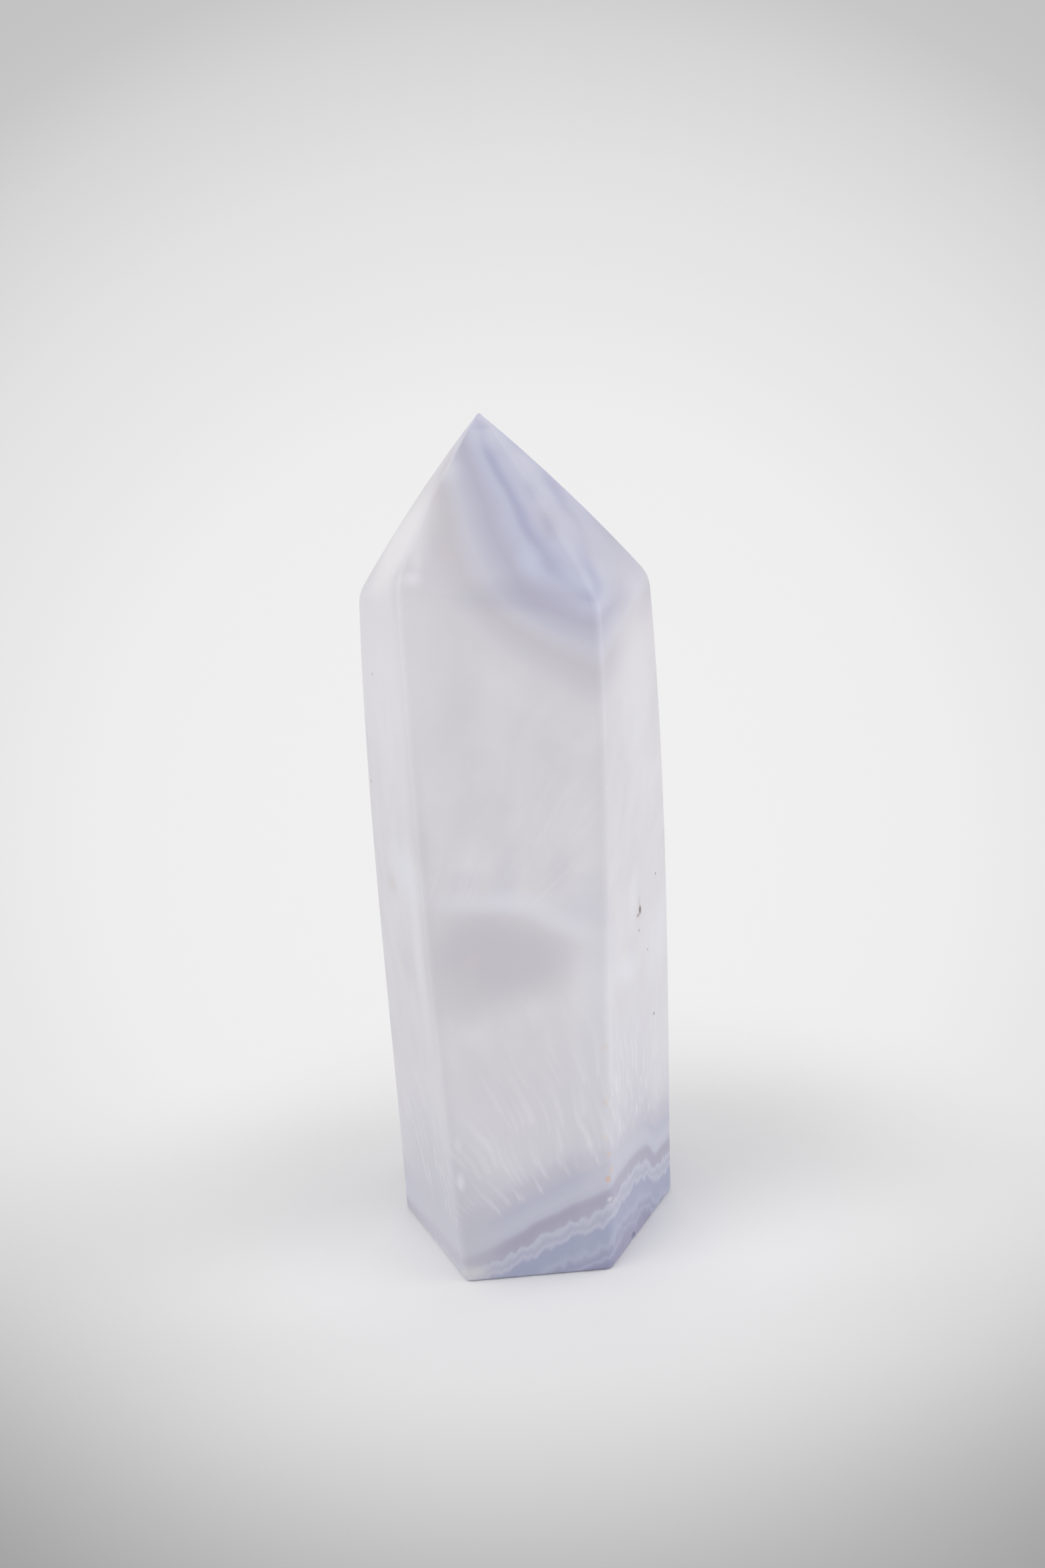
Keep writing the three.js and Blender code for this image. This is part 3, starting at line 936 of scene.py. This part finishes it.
def matt_paper_with_painted_shadow():
    """Matt white paper, which scatters the light so evenly that it has no gloss. It is seen full round
    the stone and less and less further out."""
    material = bpy.data.materials.new("matt_paper_with_painted_shadow")
    material.use_nodes = True
    tree = material.node_tree
    shader = tree.nodes["Principled BSDF"]
    metres = add_node(tree, "TexCoord").outputs["Object"]
    distance = add_node(tree, "VectorMath", {0: metres}, operation="LENGTH").outputs["Value"]
    fade = {0: distance, 1: FADE_ENDS, 2: FADE_STARTS}
    shown = add_node(tree, "MapRange", fade, interpolation_type="SMOOTHSTEP")
    tree.links.new(shown.outputs[0], shader.inputs["Alpha"])
    place = add_node(tree, "VectorMath", {0: metres, "Scale": 1 / MM}, operation="SCALE")
    colour = linear("#F4F3F3")
    # Paints the paler light in front of the stone and its darker shadow behind it into the paper's tone
    for centre, size, tone in PAINTED_LIGHT_AND_SHADOW:
        colour = lay_blot(tree, colour, tone, place, centre, size, soft=PAINTED_LIGHT_SOFTNESS)
    tree.links.new(colour, shader.inputs["Base Color"])
    shader.inputs["Roughness"].default_value = 0.9
    shader.inputs["Specular IOR Level"].default_value = 0.1
    return material


bpy.ops.object.select_all(action="DESELECT")
bpy.ops.mesh.primitive_circle_add(vertices=FLOOR_SIDES, radius=FLOOR_RADIUS, fill_type="NGON")
bpy.ops.transform.translate(value=(0, 0, -FLOOR_DROP))
bpy.ops.object.transform_apply(location=True, rotation=True, scale=True)
floor = bpy.context.object
floor.name = "floor"
floor.data.materials.append(matt_paper_with_painted_shadow())

# The studio: pale all round, brightest straight behind the stone, and a little askew, as the camera is.
# A stop of the glow is how close its direction is to the brightest one: 0 is opposite, 1 the same
BRIGHT_WAY = (0, 0.97, -0.243)
STUDIO_UP = (0.087, 0, 0.996)
GLOW = [
    (0.0, "#EFEFF0", 1),
    (0.75, "#EFEFF0", 1),
    (0.92, "#C3C2C3", 1),
    (0.93, "#C8C7C8", 1),
    (0.941, "#D6D5D6", 1),
    (0.9575, "#E3E2E3", 1),
    (0.9715, "#E9E8E9", 1),
    (0.9825, "#EEEEEE", 1),
    (1.0, "#F0F0F0", 1),
]

# The light wanes towards the ceiling and downwards: where that starts and ends, on a scale from -1 straight
# down to 1 straight up, and the share of the light that is left there
WANING = [(0.3, 0.85, 0.6), (-0.38, -0.6, 0.64)]

world = bpy.data.worlds.new("studio")
bpy.context.scene.world = world
world.use_nodes = True
tree = world.node_tree
way = add_node(tree, "TexCoord").outputs["Generated"]
towards = add_node(tree, "VectorMath", {0: way, 1: BRIGHT_WAY}, operation="DOT_PRODUCT").outputs["Value"]
along = add_node(tree, "MapRange", {0: towards, 1: -1, 2: 1})
glow = add_node(tree, "ValToRGB", {0: along}, stops=GLOW)
up = add_node(tree, "VectorMath", {0: way, 1: STUDIO_UP}, operation="DOT_PRODUCT").outputs["Value"]
dimming = 1
for starts, ends, left in WANING:
    span = {0: up, 1: starts, 2: ends, 3: 1, 4: left}
    waning = add_node(tree, "MapRange", span, interpolation_type="SMOOTHSTEP")
    dimming = add_node(tree, "Math", {0: dimming, 1: waning}, operation="MULTIPLY")
dimmed = add_node(tree, "VectorMath", {0: glow, "Scale": dimming}, operation="SCALE")
tree.links.new(dimmed.outputs[0], tree.nodes["Background"].inputs["Color"])

# Three softboxes: one on each side, the left one a little in front, and one behind. Places and sizes in
# metres, power in watts
SOFTBOXES = [
    dict(place=(-0.42, -0.15, 0.34), size=0.7, power=0.93),
    dict(place=(0.45, -0.03, 0.2), size=0.7, power=0.92),
    dict(place=(0, 0.6, 0.35), size=0.5, power=0.25),
]
for box in SOFTBOXES:
    bpy.ops.object.light_add(type="AREA", location=box["place"])
    light = bpy.context.object
    light.data.shape = "DISK"
    light.data.size = box["size"]
    light.data.energy = box["power"]
    light.rotation_euler = (-light.location).to_track_quat("-Z", "Y").to_euler()
    light.visible_camera = False

bpy.context.scene.view_settings.view_transform = "Standard"
